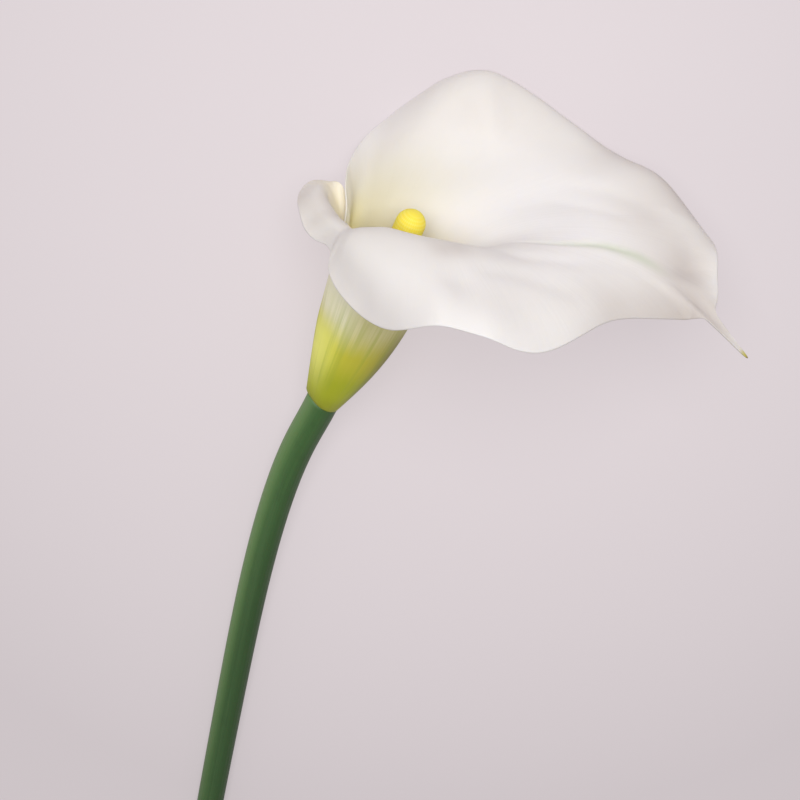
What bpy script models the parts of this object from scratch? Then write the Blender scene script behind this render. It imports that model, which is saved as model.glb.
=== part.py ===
"""A calla lily on its cut stem, lying down: stem, spathe (the white funnel) and spadix."""
import math

import bpy
import numpy as np
from mathutils import Matrix, Vector

MM = 0.001
GAP = 0.35             # clearance between neighbouring pieces (mm)

# How the head lies: the funnel's axis above the surface, its bearing from +Y towards +X,
# and the roll that sets the direction of the tail round that axis (degrees).
AXIS_RISE = 20.7
AXIS_BEARING = 21.7
TAIL_ROLL = -8.3

# Spathe (mm). The flower frame has +z up the funnel, +x towards the tail and +y to the inner half.
SHEET = 0.8            # thickness of the spathe
LAYER_STEP = 0.8       # how far the overlapping halves stand outside and inside the common tube
LAYER_SIDES = (0.62, 0.86)   # sides between which that step grows from nothing to its full size
WRAP = 197.5           # azimuth that each half covers at the base (degrees)
WRAP_SKEW = 7.5        # extra azimuth on the inner half, taken from the outer half (degrees)
BASE_SLANT = 1.6       # half the height that the base edge gains round the back of the tube
TUBE_LEAN = 1.2        # sideways shift of the tube at the height TUBE_LEAN_HEIGHT
TUBE_LEAN_HEIGHT = 10.0

# Tube: height, mean radius of the wall
TUBE = np.array([
    (0, 4.9), (4, 5.5), (8, 6.6), (13, 8.1), (18, 9.4),
    (24, 10.6), (30, 11.6), (37, 12.6), (45, 13.5), (60, 15.0)])

# Height where the tube ends and the throat begins: side, height.
# The side runs from -1, the free edge of the outer half, through 0, the midrib, to 1.
THROAT = np.array([
    (-1.00, 32), (-0.88, 46), (-0.70, 51), (-0.35, 54), (0.00, 54),
    (0.35, 50), (0.70, 46), (0.88, 41), (1.00, 32)])

# Margin: side, azimuth, radius, height
MARGIN = np.array([
    (-1.000, -214, 21.2, 59.5), (-0.980, -211.5, 23.6, 62.4), (-0.960, -209, 24.9, 63.6),
    (-0.935, -205.5, 25.9, 63.8), (-0.900, -195, 28.8, 64.6), (-0.860, -182, 30.3, 62.5),
    (-0.820, -169, 28.2, 60.5), (-0.780, -157, 25.8, 58.6), (-0.740, -146, 24.6, 59.6),
    (-0.700, -135, 25.6, 63.4), (-0.660, -126, 29.5, 65.9), (-0.610, -116, 33.8, 65.4),
    (-0.540, -98, 40.4, 64), (-0.460, -80, 51, 67.5), (-0.380, -68, 58.5, 77),
    (-0.300, -56, 64.3, 79.5), (-0.220, -43, 67.5, 78.3), (-0.150, -27, 67.2, 84),
    (-0.100, -15.5, 71.5, 85), (-0.060, -6.8, 81, 84.8), (-0.030, -4.5, 84.6, 84.6),
    (0.000, -2.5, 87.5, 85.3), (0.025, 0.3, 88, 87.4), (0.050, 3.3, 86.5, 90.5),
    (0.090, 8.5, 84.5, 94.5), (0.140, 15.8, 82, 95.6), (0.200, 30, 75.6, 95.8), (0.270, 43, 73.3, 90.1),
    (0.350, 57.5, 68, 89.3), (0.430, 72, 60, 92.9), (0.500, 87, 54.1, 94.8), (0.570, 100, 50.5, 87.5),
    (0.650, 113.4, 47.6, 71.3), (0.730, 129, 35.5, 66.3), (0.820, 149, 23, 64), (0.910, 165, 15.6, 57.5),
    (1.000, 190, 11.7, 46)])

# Crest of the throat and middle of the limb:
# side, crest radius, crest height, middle radius, middle height, angle of the wall at the margin
LIMB = np.array([
    (-1.00, 15.7, 48.0, 17.8, 54.0, 35), (-0.95, 19.4, 55.6, 22.8, 60.4, 50),
    (-0.90, 22.6, 60.6, 26.3, 64.0, 80), (-0.86, 19.6, 61.8, 25.0, 64.6, 110),
    (-0.78, 17.0, 64.0, 21.5, 64.5, 125), (-0.70, 17.0, 66.3, 21.3, 67.2, 125),
    (-0.62, 18.2, 69.6, 26.0, 70.4, 125), (-0.54, 19.2, 74.5, 31.0, 73.0, 125),
    (-0.46, 20.0, 76.6, 36.5, 77.2, 125), (-0.38, 21.0, 77.6, 41.0, 81.0, 125),
    (-0.30, 22.4, 78.6, 44.0, 83.0, 125), (-0.22, 24.0, 78.6, 46.5, 83.6, 120),
    (-0.15, 25.6, 77.8, 48.5, 84.8, 112), (-0.08, 26.6, 76.4, 50.5, 86.6, 112),
    (0.00, 27.0, 74.4, 53.0, 88.2, 114), (0.06, 27.0, 73.4, 53.6, 89.4, 100),
    (0.12, 26.6, 72.8, 53.0, 89.4, 98), (0.20, 25.6, 71.4, 50.0, 87.0, 132),
    (0.28, 24.4, 69.8, 47.2, 84.6, 142), (0.43, 21.8, 66.4, 41.5, 82.0, 136),
    (0.50, 20.6, 64.4, 38.0, 80.5, 112), (0.65, 19.0, 60.0, 31.0, 67.5, 95),
    (0.73, 17.6, 57.0, 25.5, 62.5, 80), (0.82, 15.4, 54.0, 18.6, 60.0, 45),
    (0.91, 12.6, 49.5, 14.1, 54.5, 20), (1.00, 11.2, 41.0, 11.4, 44.0, 8)])

# Tail, drawn out of the margin at the midrib: how far its tip stands out (x, y, z), its width
# as a side, the share by which its foot is wider, the row where it starts, and the power with
# which it grows from there
TAIL = np.array([15.1, 0.4, -7.2])
TAIL_WIDTH = 0.0075
TAIL_FLARE = 0.8
TAIL_ROOT = 0.86
TAIL_GROWTH = 2.0

# Margins that roll back: the sides over which the roll comes and then goes, its width and depth
# (mm), and how far the margin also reaches out, as a share of the depth
CURLS = (
    ((-0.97, -0.93), (-0.86, -0.80), 6.0, 2.0, 0.2),
    ((-0.78, -0.60), (-0.52, -0.38), 17.0, 7.0, -0.1),
    ((-0.24, -0.12), (-0.05, -0.01), 20.0, 2.5, 0.0),
    ((0.07, 0.20), (0.30, 0.46), 14.0, 4.2, 0.8))

# Rows of the spathe's grid at its knots: three up the tube, then throat, crest, middle and margin
KNOT_ROWS = (0.0, 0.11, 0.22, 0.33, 0.47, 0.72, 1.0)

# Stem (mm, from the base of the head, level and upright as it lies)
STEM_RADIUS = 5.1
STEM_END_RADIUS = 3.6
STEM_PATH = np.array([
    (0.0, 0.0, 0.0), (-6.8, -13.7, -4.7), (-14.7, -34.3, -8.8), (-20.5, -54.8, -10.9),
    (-26.8, -82.3, -12.4), (-32.5, -110.2, -13.3), (-38.1, -138.3, -13.8),
    (-47.4, -188.0, -14.5), (-55.4, -234.0, -15.0)])
STEM_LEAD = 12         # straight run past the base that sets the direction of the stem's top
STEM_SIDES = 24
STEM_RINGS = 48
RING_SPREAD = 1.15     # power that sets the rings closer together near the head
CUT_SLANT = 2.4        # half the length that the slanting cut takes off one side
PLUG_RADIUS = 3.3
PLUG_TOP = 4.6

# Spadix (mm, in the flower frame)
SPADIX_RADIUS = 4.3
SPADIX_FOOT_RADIUS = 3.0
SPADIX_FOOT_TOP = 18   # height where the foot reaches the full radius
SPADIX_BASE = PLUG_TOP + GAP
SPADIX_TOP = 72.8
SPADIX_LEAN = 2.3      # how far the tip leans towards the tail
FLORET_HEIGHT = 0.15
FLORET_START = 12      # height where the florets stand out in full
FLORETS_ROUND = 10
FLORETS_ALONG = 24
SPADIX_SIDES = 30
SPADIX_RINGS = 74
DOME_RINGS = 8
DOME_ANGLES = (10, 80)   # first and last ring of the round tip (degrees)


def spline(x, knots, values):
    """Natural cubic spline through the knots, read at x."""
    knots = np.asarray(knots, float)
    values = np.asarray(values, float)
    count = len(knots)
    step = np.diff(knots)
    system = np.eye(count)
    right = np.zeros(count)
    for i in range(1, count - 1):
        system[i, i - 1] = step[i - 1]
        system[i, i] = 2 * (step[i - 1] + step[i])
        system[i, i + 1] = step[i]
        right[i] = 6 * ((values[i + 1] - values[i]) / step[i]
                        - (values[i] - values[i - 1]) / step[i - 1])
    bend = np.linalg.solve(system, right)
    i = np.clip(np.searchsorted(knots, x) - 1, 0, count - 2)
    a = (knots[i + 1] - x) / step[i]
    b = (x - knots[i]) / step[i]
    curve = ((a ** 3 - a) * bend[i] + (b ** 3 - b) * bend[i + 1]) * step[i] ** 2 / 6
    return a * values[i] + b * values[i + 1] + curve


def smoothstep(x, low, high):
    """0 below low, 1 above high, with a smooth rise between."""
    t = np.clip((x - low) / (high - low), 0, 1)
    return t * t * (3 - 2 * t)


def base_azimuth(side):
    """Azimuth of each side's line at the foot of the tube, in degrees."""
    return WRAP * side + WRAP_SKEW * side ** 2


def base_edge(azimuth):
    """Height of the slanting foot of the tube at an azimuth in degrees."""
    return BASE_SLANT * (1 - np.cos(np.radians(azimuth)))


def profile_knots(side):
    """Radius and height of the seven knots of each side's line, from the foot to the margin."""
    foot = base_edge(base_azimuth(side))
    throat = spline(side, THROAT[:, 0], THROAT[:, 1])
    layer = LAYER_STEP * (smoothstep(-side, *LAYER_SIDES) - smoothstep(side, *LAYER_SIDES))
    lean = TUBE_LEAN * np.cos(np.radians(base_azimuth(side)))
    radii, heights = [], []
    for share in (0, 1 / 3, 2 / 3, 1):
        z = foot + (throat - foot) * share
        radii.append(spline(z, TUBE[:, 0], TUBE[:, 1]) + layer + lean * np.minimum(z / TUBE_LEAN_HEIGHT, 1))
        heights.append(z)
    for column in (1, 3):
        radii.append(spline(side, LIMB[:, 0], LIMB[:, column]))
        heights.append(spline(side, LIMB[:, 0], LIMB[:, column + 1]))
    radii.append(spline(side, MARGIN[:, 0], MARGIN[:, 2]))
    heights.append(spline(side, MARGIN[:, 0], MARGIN[:, 3]))
    return np.stack(radii, -1), np.stack(heights, -1)


def clamped_spline(values, step, end_slope, place, rows, span):
    """Each line's cubic spline by length: free at the foot, with end_slope at the margin."""
    lines, count = values.shape
    system = np.zeros((lines, count, count))
    right = np.zeros((lines, count))
    system[:, 0, 0] = 1
    slope = np.diff(values, axis=1) / step
    for i in range(1, count - 1):
        system[:, i, i - 1] = step[:, i - 1]
        system[:, i, i] = 2 * (step[:, i - 1] + step[:, i])
        system[:, i, i + 1] = step[:, i]
    system[:, -1, -2] = step[:, -1]
    system[:, -1, -1] = 2 * step[:, -1]
    right[:, 1:-1] = 6 * np.diff(slope, axis=1)
    right[:, -1] = 6 * (end_slope - slope[:, -1])
    bend = np.linalg.solve(system, right[..., None])[..., 0]
    result = np.empty((len(rows), lines))
    for row, i in enumerate(span):
        a = (place[:, i + 1] - rows[row]) / step[:, i]
        b = (rows[row] - place[:, i]) / step[:, i]
        curve = ((a ** 3 - a) * bend[:, i] + (b ** 3 - b) * bend[:, i + 1]) * step[:, i] ** 2 / 6
        result[row] = a * values[:, i] + b * values[:, i + 1] + curve
    return result


def spathe_surface(side, height):
    """Middle of the sheet in the flower frame: one row for each height, one column for each side."""
    radius, z = profile_knots(side)
    step = np.hypot(np.diff(radius, axis=1), np.diff(z, axis=1))
    place = np.concatenate([np.zeros((len(side), 1)), np.cumsum(step, axis=1)], 1)
    span = np.clip(np.searchsorted(KNOT_ROWS, height, side="right") - 1, 0, len(KNOT_ROWS) - 2)
    rows = np.stack([np.interp(height, KNOT_ROWS, line) for line in place], -1)
    end = np.radians(spline(side, LIMB[:, 0], LIMB[:, 5]))
    radius = clamped_spline(radius, step, np.sin(end), place, rows, span)
    z = clamped_spline(z, step, np.cos(end), place, rows, span)
    turn = smoothstep((rows - place[:, 2]) / (place[:, -1] - place[:, 2]), 0, 1)
    margin_azimuth = spline(side, MARGIN[:, 0], MARGIN[:, 1])
    azimuth = np.radians((1 - turn) * base_azimuth(side) + turn * margin_azimuth)
    grown = np.clip((height - TAIL_ROOT) / (1 - TAIL_ROOT), 0, 1) ** TAIL_GROWTH
    width = TAIL_WIDTH * (1 + TAIL_FLARE * (1 - grown[:, None]))
    tail = grown[:, None] * np.exp(-(side / width) ** 2)
    points = np.stack([radius * np.cos(azimuth), radius * np.sin(azimuth), z], -1) + tail[..., None] * TAIL
    return roll_margins(points, rows, side, height)


def unit(vectors):
    """Vectors of length 1."""
    return vectors / (np.linalg.norm(vectors, axis=-1, keepdims=True) + 1e-12)


def roll_margins(points, rows, side, height):
    """Bends the margin away from the mouth by depth * (1 - distance / width) squared."""
    upward = unit(np.gradient(points, height, axis=0))
    outward = unit(np.cross(np.gradient(points, side, axis=1), upward))
    result = points.copy()
    for comes, goes, width, depth, reach in CURLS:
        roll = depth * np.clip(1 - (rows[-1] - rows) / width, 0, 1) ** 2
        roll = roll * smoothstep(side, *comes) * (1 - smoothstep(side, *goes))
        result += roll[..., None] * (outward + reach * upward)
    return result


def spathe_sides():
    """Columns of the grid: close together round the rolled flap and at the tail."""
    tail = np.array([0.006, 0.012, 0.019, 0.028, 0.04, 0.055, 0.075])
    return np.concatenate([
        np.linspace(-1.0, -0.6, 20, endpoint=False), np.linspace(-0.6, -0.1, 15, endpoint=False),
        [-0.1], -tail[::-1], [0.0], tail, np.linspace(0.1, 0.66, 15, endpoint=False),
        np.linspace(0.66, 1.0, 9)])


def spathe_heights():
    """Rows of the grid: widest apart on the plain tube, closest at the rolled margin."""
    return np.concatenate([
        np.linspace(0.0, 0.33, 7, endpoint=False), np.linspace(0.33, 0.47, 5, endpoint=False),
        np.linspace(0.47, 0.72, 7, endpoint=False), np.linspace(0.72, 1.0, 11)])


def head_matrix():
    """Turns the flower frame into the lying pose, with the head's base at the origin."""
    rise, bearing, roll = (math.radians(a) for a in (AXIS_RISE, AXIS_BEARING, TAIL_ROLL))
    axis = Vector((math.cos(rise) * math.sin(bearing), math.cos(rise) * math.cos(bearing), math.sin(rise)))
    level = Vector((math.cos(bearing), -math.sin(bearing), 0))
    tail = level * math.cos(roll) + axis.cross(level) * math.sin(roll)
    inner = axis.cross(tail)
    return Matrix((tail, inner, axis)).transposed()


def material(name, colour, roughness):
    """A plain Principled material."""
    made = bpy.data.materials.new(name)
    made.use_nodes = True
    shader = made.node_tree.nodes["Principled BSDF"]
    shader.inputs["Base Color"].default_value = (*colour, 1)
    shader.inputs["Roughness"].default_value = roughness
    shader.inputs["Metallic"].default_value = 0
    return made


def add_object(name, points, faces, look):
    """A smooth mesh object from points in millimetres."""
    mesh = bpy.data.meshes.new(name)
    mesh.from_pydata([tuple(p) for p in np.asarray(points) * MM], [], faces)
    mesh.shade_smooth()
    mesh.materials.append(look)
    made = bpy.data.objects.new(name, mesh)
    bpy.context.scene.collection.objects.link(made)
    return made


def grid_faces(rows, columns, middle):
    """Triangles of an open grid, their diagonals mirrored about the column middle.

    The two corners at the margin are split the other way, so that no edge spans the sheet's tip.
    """
    faces = []
    for i in range(rows - 1):
        for j in range(columns - 1):
            a, b = i * columns + j, i * columns + j + 1
            c, d = b + columns, a + columns
            corner = i == rows - 2 and j in (0, columns - 2)
            if (j < middle) != corner:
                faces += [(a, b, d), (b, c, d)]
            else:
                faces += [(a, b, c), (a, c, d)]
    return faces


def tube_faces(rings, sides):
    """Triangles of a closed sleeve of rings, with a fan on a centre point at each end."""
    faces = []
    for i in range(rings - 1):
        for j in range(sides):
            a, b = i * sides + j, i * sides + (j + 1) % sides
            faces += [(a, b, b + sides), (a, b + sides, a + sides)]
    first, last = rings * sides, rings * sides + 1
    for j in range(sides):
        k = (j + 1) % sides
        faces.append((first, k, j))
        faces.append((last, (rings - 1) * sides + j, (rings - 1) * sides + k))
    return faces


def build_spathe(turn):
    """The rolled sheet, given its thickness by a Solidify modifier."""
    sides, heights = spathe_sides(), spathe_heights()
    surface = spathe_surface(sides, heights)
    points = surface.reshape(-1, 3) @ turn.T
    faces = grid_faces(len(heights), len(sides), int(np.argmin(np.abs(sides))))
    made = add_object("spathe", points, faces, material("white_spathe", (0.86, 0.83, 0.79), 0.5))
    thick = made.modifiers.new("thickness", "SOLIDIFY")
    thick.thickness = SHEET * MM
    thick.offset = 0
    thick.use_rim = True
    return made


def spadix_ring(height, azimuth):
    """Radius of the spadix: a long foot, parallel sides and a round tip, all over with florets."""
    tip = SPADIX_TOP - SPADIX_RADIUS
    foot = SPADIX_FOOT_RADIUS + (SPADIX_RADIUS - SPADIX_FOOT_RADIUS) * smoothstep(
        height, SPADIX_BASE, SPADIX_FOOT_TOP)
    dome = np.sqrt(np.clip(1 - (np.maximum(height - tip, 0) / SPADIX_RADIUS) ** 2, 0, 1))
    along = (height - SPADIX_BASE) / (tip - SPADIX_BASE) * FLORETS_ALONG * math.pi
    florets = np.cos(FLORETS_ROUND * azimuth + along) * np.cos(FLORETS_ROUND * azimuth - along)
    return (foot + FLORET_HEIGHT * florets * smoothstep(height, SPADIX_BASE, FLORET_START)) * dome


def build_spadix(turn):
    """The flower spike, a turned shape with relief, standing on the stem's plug."""
    straight = np.linspace(0, SPADIX_TOP - SPADIX_RADIUS - SPADIX_BASE, SPADIX_RINGS - DOME_RINGS)
    dome = SPADIX_RADIUS * np.sin(np.radians(np.linspace(*DOME_ANGLES, DOME_RINGS)))
    heights = SPADIX_BASE + np.concatenate([straight, straight[-1] + dome])
    azimuth = np.linspace(0, 2 * math.pi, SPADIX_SIDES, endpoint=False)
    points = []
    for z in heights:
        radius = spadix_ring(z, azimuth)
        shift = SPADIX_LEAN * smoothstep(z, 0, SPADIX_TOP)
        points += list(zip(shift + radius * np.cos(azimuth), radius * np.sin(azimuth),
                           np.full(len(azimuth), z)))
    points += [(0, 0, SPADIX_BASE), (SPADIX_LEAN, 0, SPADIX_TOP)]
    faces = tube_faces(len(heights), SPADIX_SIDES)
    return add_object("spadix", np.array(points) @ turn.T, faces,
                      material("yellow_spadix", (0.93, 0.72, 0.10), 0.6))


def stem_frames(axis):
    """Centres and directions of the stem's rings, from the head down to the cut end."""
    reach = np.concatenate([[0], np.cumsum(np.linalg.norm(np.diff(STEM_PATH, axis=0), axis=1))])
    along = reach[-1] * np.linspace(0, 1, STEM_RINGS) ** RING_SPREAD
    guides = np.vstack([STEM_PATH[0] + axis * STEM_LEAD, STEM_PATH])
    places = np.concatenate([[-STEM_LEAD], reach])
    nudge = 0.1
    behind, centres, ahead = (
        np.stack([spline(along + offset, places, guides[:, k]) for k in range(3)], -1)
        for offset in (-nudge, 0, nudge))
    down = ahead - behind
    down /= np.linalg.norm(down, axis=1, keepdims=True)
    return along / reach[-1], centres, down


def build_stem(turn):
    """The stalk: the plug, then rings down the curved line, numbered backwards, to a slanting cut."""
    tail, inner, axis = turn.T
    share, centres, down = stem_frames(axis)
    azimuth = -np.linspace(0, 2 * math.pi, STEM_SIDES, endpoint=False)
    circle = np.outer(np.cos(azimuth), tail) + np.outer(np.sin(azimuth), inner)
    shoulder = base_edge(np.degrees(azimuth)) - GAP
    points = [PLUG_RADIUS * circle + PLUG_TOP * axis,
              PLUG_RADIUS * circle + np.outer(shoulder, axis),
              STEM_RADIUS * circle + np.outer(shoulder, axis)]
    for k in range(1, STEM_RINGS):
        radius = STEM_RADIUS + (STEM_END_RADIUS - STEM_RADIUS) * share[k]
        across = np.cross(down[k], inner)
        across /= np.linalg.norm(across)
        other = np.cross(across, down[k])
        ring = centres[k] + radius * (np.outer(np.cos(azimuth), across) + np.outer(np.sin(azimuth), other))
        if k == STEM_RINGS - 1:
            ring += np.outer(CUT_SLANT * np.cos(azimuth), down[k])
        points.append(ring)
    points.append([PLUG_TOP * axis, centres[-1]])
    faces = tube_faces(STEM_RINGS + 2, STEM_SIDES)
    return add_object("stem", np.vstack(points), faces, material("green_stem", (0.045, 0.12, 0.03), 0.5))


def stand_on_origin(objects):
    """Moves everything so that the bounding box's bottom centre is the origin."""
    graph = bpy.context.evaluated_depsgraph_get()
    corners = []
    for made in objects:
        shape = made.evaluated_get(graph).to_mesh()
        corners += [v.co.copy() for v in shape.vertices]
    low = Vector(min(c[k] for c in corners) for k in range(3))
    high = Vector(max(c[k] for c in corners) for k in range(3))
    shift = Vector(((low.x + high.x) / 2, (low.y + high.y) / 2, low.z))
    for made in objects:
        made.data.transform(Matrix.Translation(-shift))
    print("head base at", [round(-s / MM, 3) for s in shift], "size", [round(s / MM, 2) for s in high - low])


def main():
    for old in list(bpy.data.objects):
        bpy.data.objects.remove(old, do_unlink=True)
    turn = np.array(head_matrix())
    pieces = [build_spathe(turn), build_spadix(turn), build_stem(turn)]
    stand_on_origin(pieces)


main()
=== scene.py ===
import math

import bpy
import numpy as np
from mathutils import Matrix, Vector


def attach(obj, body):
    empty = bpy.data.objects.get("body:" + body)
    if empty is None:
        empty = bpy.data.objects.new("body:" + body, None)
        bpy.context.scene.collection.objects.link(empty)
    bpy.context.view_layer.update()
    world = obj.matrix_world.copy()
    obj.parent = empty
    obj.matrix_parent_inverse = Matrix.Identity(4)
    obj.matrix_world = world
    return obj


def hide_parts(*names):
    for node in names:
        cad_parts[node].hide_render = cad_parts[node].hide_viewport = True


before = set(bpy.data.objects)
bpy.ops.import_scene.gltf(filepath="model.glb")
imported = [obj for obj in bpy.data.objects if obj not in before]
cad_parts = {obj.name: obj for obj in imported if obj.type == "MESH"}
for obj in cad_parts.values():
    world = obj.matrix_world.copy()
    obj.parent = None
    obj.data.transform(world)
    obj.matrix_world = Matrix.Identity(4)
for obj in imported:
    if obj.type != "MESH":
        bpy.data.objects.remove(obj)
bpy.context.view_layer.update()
print("frame loaded:", ", ".join(sorted(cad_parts)))

# How the bloom lies: degrees, and the place of its base in millimetres
pose = {
    "axisRise": 20.7,
    "axisBearing": 21.7,
    "tailRoll": -8.3,
    "headBase": (-30.031, 70.173, 18.591),
}

camera = {
    "pitch": -16,            # degrees, towards the bloom's mouth
    "roll": -1,
    "distance": 600,         # mm from the aim point
    "lens": 90,
    "aim": (23.25, 0.29, 0.32),    # mm from the bloom's base
}


# Smooth step: 0 below low, 1 above high, and 3t^2 - 2t^3 between
def smoothStep(x, low, high):
    t = np.clip((x - low) / (high - low), 0, 1)
    return t * t * (3 - 2 * t)


# Bell: exp(-(x / width)^2)
def bell(x, width):
    return np.exp(-(x / width) ** 2)


def unit(vectors):
    return vectors / (np.linalg.norm(vectors, axis=-1, keepdims=True) + 1e-12)


# Natural cubic spline through the knots: each span is a cubic in its share, and the
# second derivatives solve the usual three-term system
def spline(x, knots, values):
    knots, values = np.asarray(knots, float), np.asarray(values, float)
    step, slope = np.diff(knots), np.diff(values) / np.diff(knots)
    system = np.eye(len(knots))
    right = np.zeros(len(knots))
    inner = np.arange(1, len(knots) - 1)
    system[inner, inner - 1] = step[:-1]
    system[inner, inner] = 2 * (step[:-1] + step[1:])
    system[inner, inner + 1] = step[1:]
    right[1:-1] = 6 * np.diff(slope)
    bend = np.linalg.solve(system, right)
    i = np.clip(np.searchsorted(knots, x) - 1, 0, len(knots) - 2)
    a, b = (knots[i + 1] - x) / step[i], (x - knots[i]) / step[i]
    cubic = ((a ** 3 - a) * bend[i] + (b ** 3 - b) * bend[i + 1]) * step[i] ** 2 / 6
    return a * values[i] + b * values[i + 1] + cubic


# The bloom's own frame as columns: tail, inner half, axis. Row vectors times its transpose
# give the lying pose
def lyingFrame():
    angles = (pose["axisRise"], pose["axisBearing"], pose["tailRoll"])
    rise, bearing, roll = (math.radians(angle) for angle in angles)
    flat = math.cos(rise)
    axis = np.array((flat * math.sin(bearing), flat * math.cos(bearing), math.sin(rise)))
    level = np.array((math.cos(bearing), -math.sin(bearing), 0))
    tail = level * math.cos(roll) + np.cross(axis, level) * math.sin(roll)
    return np.stack([tail, np.cross(axis, tail), axis], 1)


bloomFrame = lyingFrame()
headBase = np.array(pose["headBase"])
millimetre = 0.001


# Mesh from whole arrays: points in mm in the bloom's frame or the floor's, faces of four or
# three corners, and one value or vector for each point and attribute
def makePiece(name, points, faces, fields, look, slot, fromBloom=True):
    if fromBloom:
        points = points @ bloomFrame.T
    places = (points + headBase) * millimetre
    mesh = bpy.data.meshes.new(name)
    mesh.from_pydata(places.tolist(), [], [face for group in faces for face in group.tolist()])
    mesh.shade_smooth()
    for field, values in fields.items():
        kind = "FLOAT_VECTOR" if values.ndim == 2 else "FLOAT"
        made = mesh.attributes.new(field, kind, "POINT")
        target = "vector" if values.ndim == 2 else "value"
        made.data.foreach_set(target, values.astype(np.float32).ravel())
    mesh.materials.append(look)
    piece = bpy.data.objects.new(name, mesh)
    bpy.context.scene.collection.objects.link(piece)
    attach(piece, "root")
    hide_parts(slot)
    print(f"{name}: {len(points)} points, {sum(len(group) for group in faces)} faces")


# Shader maths: a number that varies over the surface. Each operator adds one Math node
def mathNode(operation, swapped=False):
    def method(self, other):
        pair = (other, self) if swapped else (self, other)
        return self.paint.math(operation, *pair)
    return method


class Value:
    def __init__(self, paint, link):
        self.paint, self.link = paint, link

    __add__, __radd__ = mathNode("ADD"), mathNode("ADD", True)
    __sub__, __rsub__ = mathNode("SUBTRACT"), mathNode("SUBTRACT", True)
    __mul__, __rmul__ = mathNode("MULTIPLY"), mathNode("MULTIPLY", True)
    __truediv__, __rtruediv__ = mathNode("DIVIDE"), mathNode("DIVIDE", True)

    def __neg__(self):
        return self * -1

    # 0 below low, 1 above high, smooth between; high may be the smaller
    def between(self, low, high):
        if low > high:
            return 1 - self.between(high, low)
        made = self.paint.node("ShaderNodeMapRange", {"interpolation_type": "SMOOTHSTEP"},
                               {"Value": self, "From Min": low, "From Max": high})
        return Value(self.paint, made.outputs["Result"])

    # exp(-((x - middle) / width)^2)
    def hump(self, middle, width):
        distance = (self - middle) / width
        return self.paint.math("EXPONENT", -(distance * distance))


class Paint:
    def __init__(self, name, **constants):
        self.look = bpy.data.materials.new(name)
        self.look.use_nodes = True
        self.tree = self.look.node_tree
        self.shader = self.tree.nodes["Principled BSDF"]
        for socket, value in constants.items():
            self.shader.inputs[socket.replace("_", " ")].default_value = value

    def feed(self, socket, value):
        if isinstance(value, Value):
            value = value.link
        if isinstance(value, bpy.types.NodeSocket):
            self.tree.links.new(value, socket)
        elif isinstance(value, tuple) and socket.type == "RGBA":
            socket.default_value = (*value, 1)
        else:
            socket.default_value = value

    def node(self, kind, settings=None, sockets=None):
        made = self.tree.nodes.new(kind)
        for key, value in (settings or {}).items():
            setattr(made, key, value)
        for key, value in (sockets or {}).items():
            self.feed(made.inputs[key], value)
        return made

    def math(self, operation, *values):
        made = self.node("ShaderNodeMath", {"operation": operation}, dict(enumerate(values)))
        return Value(self, made.outputs[0])

    def field(self, name):
        return Value(self, self.node("ShaderNodeAttribute", {"attribute_name": name}).outputs["Fac"])

    def place(self, name=None):
        if name is None:
            return self.node("ShaderNodeTexCoord").outputs["Object"]
        return self.node("ShaderNodeAttribute", {"attribute_name": name}).outputs["Vector"]

    def stretched(self, vector, scale):
        return self.node("ShaderNodeMapping", None, {"Vector": vector, "Scale": scale}).outputs[0]

    # Noise from 0 to 1, about 0.5 on average
    def noise(self, vector, scale=1.0, detail=2.0, rough=0.5):
        made = self.node("ShaderNodeTexNoise", None,
                         {"Vector": vector, "Scale": scale, "Detail": detail, "Roughness": rough})
        return Value(self, made.outputs["Fac"])

    # Colour a where the mask is 0 and b where it is 1
    def blend(self, mask, a, b):
        made = self.node("ShaderNodeMix", {"data_type": "RGBA"}, {0: mask, 6: a, 7: b})
        return made.outputs[2]

    def finish(self, colour, roughness=None, relief=None, depth=0):
        self.feed(self.shader.inputs["Base Color"], colour)
        if roughness is not None:
            self.feed(self.shader.inputs["Roughness"], roughness)
        if relief is not None:
            bump = self.node("ShaderNodeBump", None,
                             {"Height": relief, "Strength": 1.0, "Distance": depth * millimetre})
            self.feed(self.shader.inputs["Normal"], bump.outputs[0])
        return self.look


# The spathe is one leaf rolled into a funnel. Side runs from -1, the free edge of the
# outer half, through 0, the midrib, to 1. Millimetres and degrees
spathe = {
    "columns": 330,
    "rows": 140,
    "sheet": 0.8,                  # thickness, and what it thins to at the margin
    "marginSheet": 0.5,
    "marginTaper": 5.0,
    "rimReach": 0.9,               # how far the edge stands out, in half thicknesses
    "footReach": 1.6,              # and how many times further at the foot
    "layerStep": 0.8,              # how far the outer layer stands out, and the inner one in
    "layerSides": (0.62, 0.86),    # over which it does so
    "wrap": 197.5,                 # azimuth at side 1 is wrap + wrapSkew, at -1 wrapSkew - wrap
    "wrapSkew": 7.5,
    "baseSlant": 1.6,
    "tubeLean": 1.2,
    "tubeLeanHeight": 10.0,
    "tail": (15.1, 0.4, -7.2),     # how far its tip stands out of the margin
    "tailWidth": 0.0075,           # as a side, more towards its foot by the flare
    "tailFlare": 0.8,
    "tailRoot": 0.86,
    "tailGrowth": 2.0,
    "tailCalm": (10.0, 22.0),      # mm from its tip over which the relief sets in
    "rippleHeight": 0.08,
    "rippleReach": 9.0,
    "rippleCount": 34,             # half waves from the midrib to side 1, drifting with the side
    "rippleDrift": (1.7, 11),
    "rippleSides": (0.05, 0.2),    # over which the ripple sets in, away from the midrib
    "bumpDepth": 0.12,             # of the veins and streaks in the material
}

# Tube: height, mean radius
tubeTable = np.array([
    (0, 4.9), (4, 5.5), (8, 6.6), (13, 8.1), (18, 9.4),
    (24, 10.6), (30, 11.6), (37, 12.6), (45, 13.5), (60, 15.0)])

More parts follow.
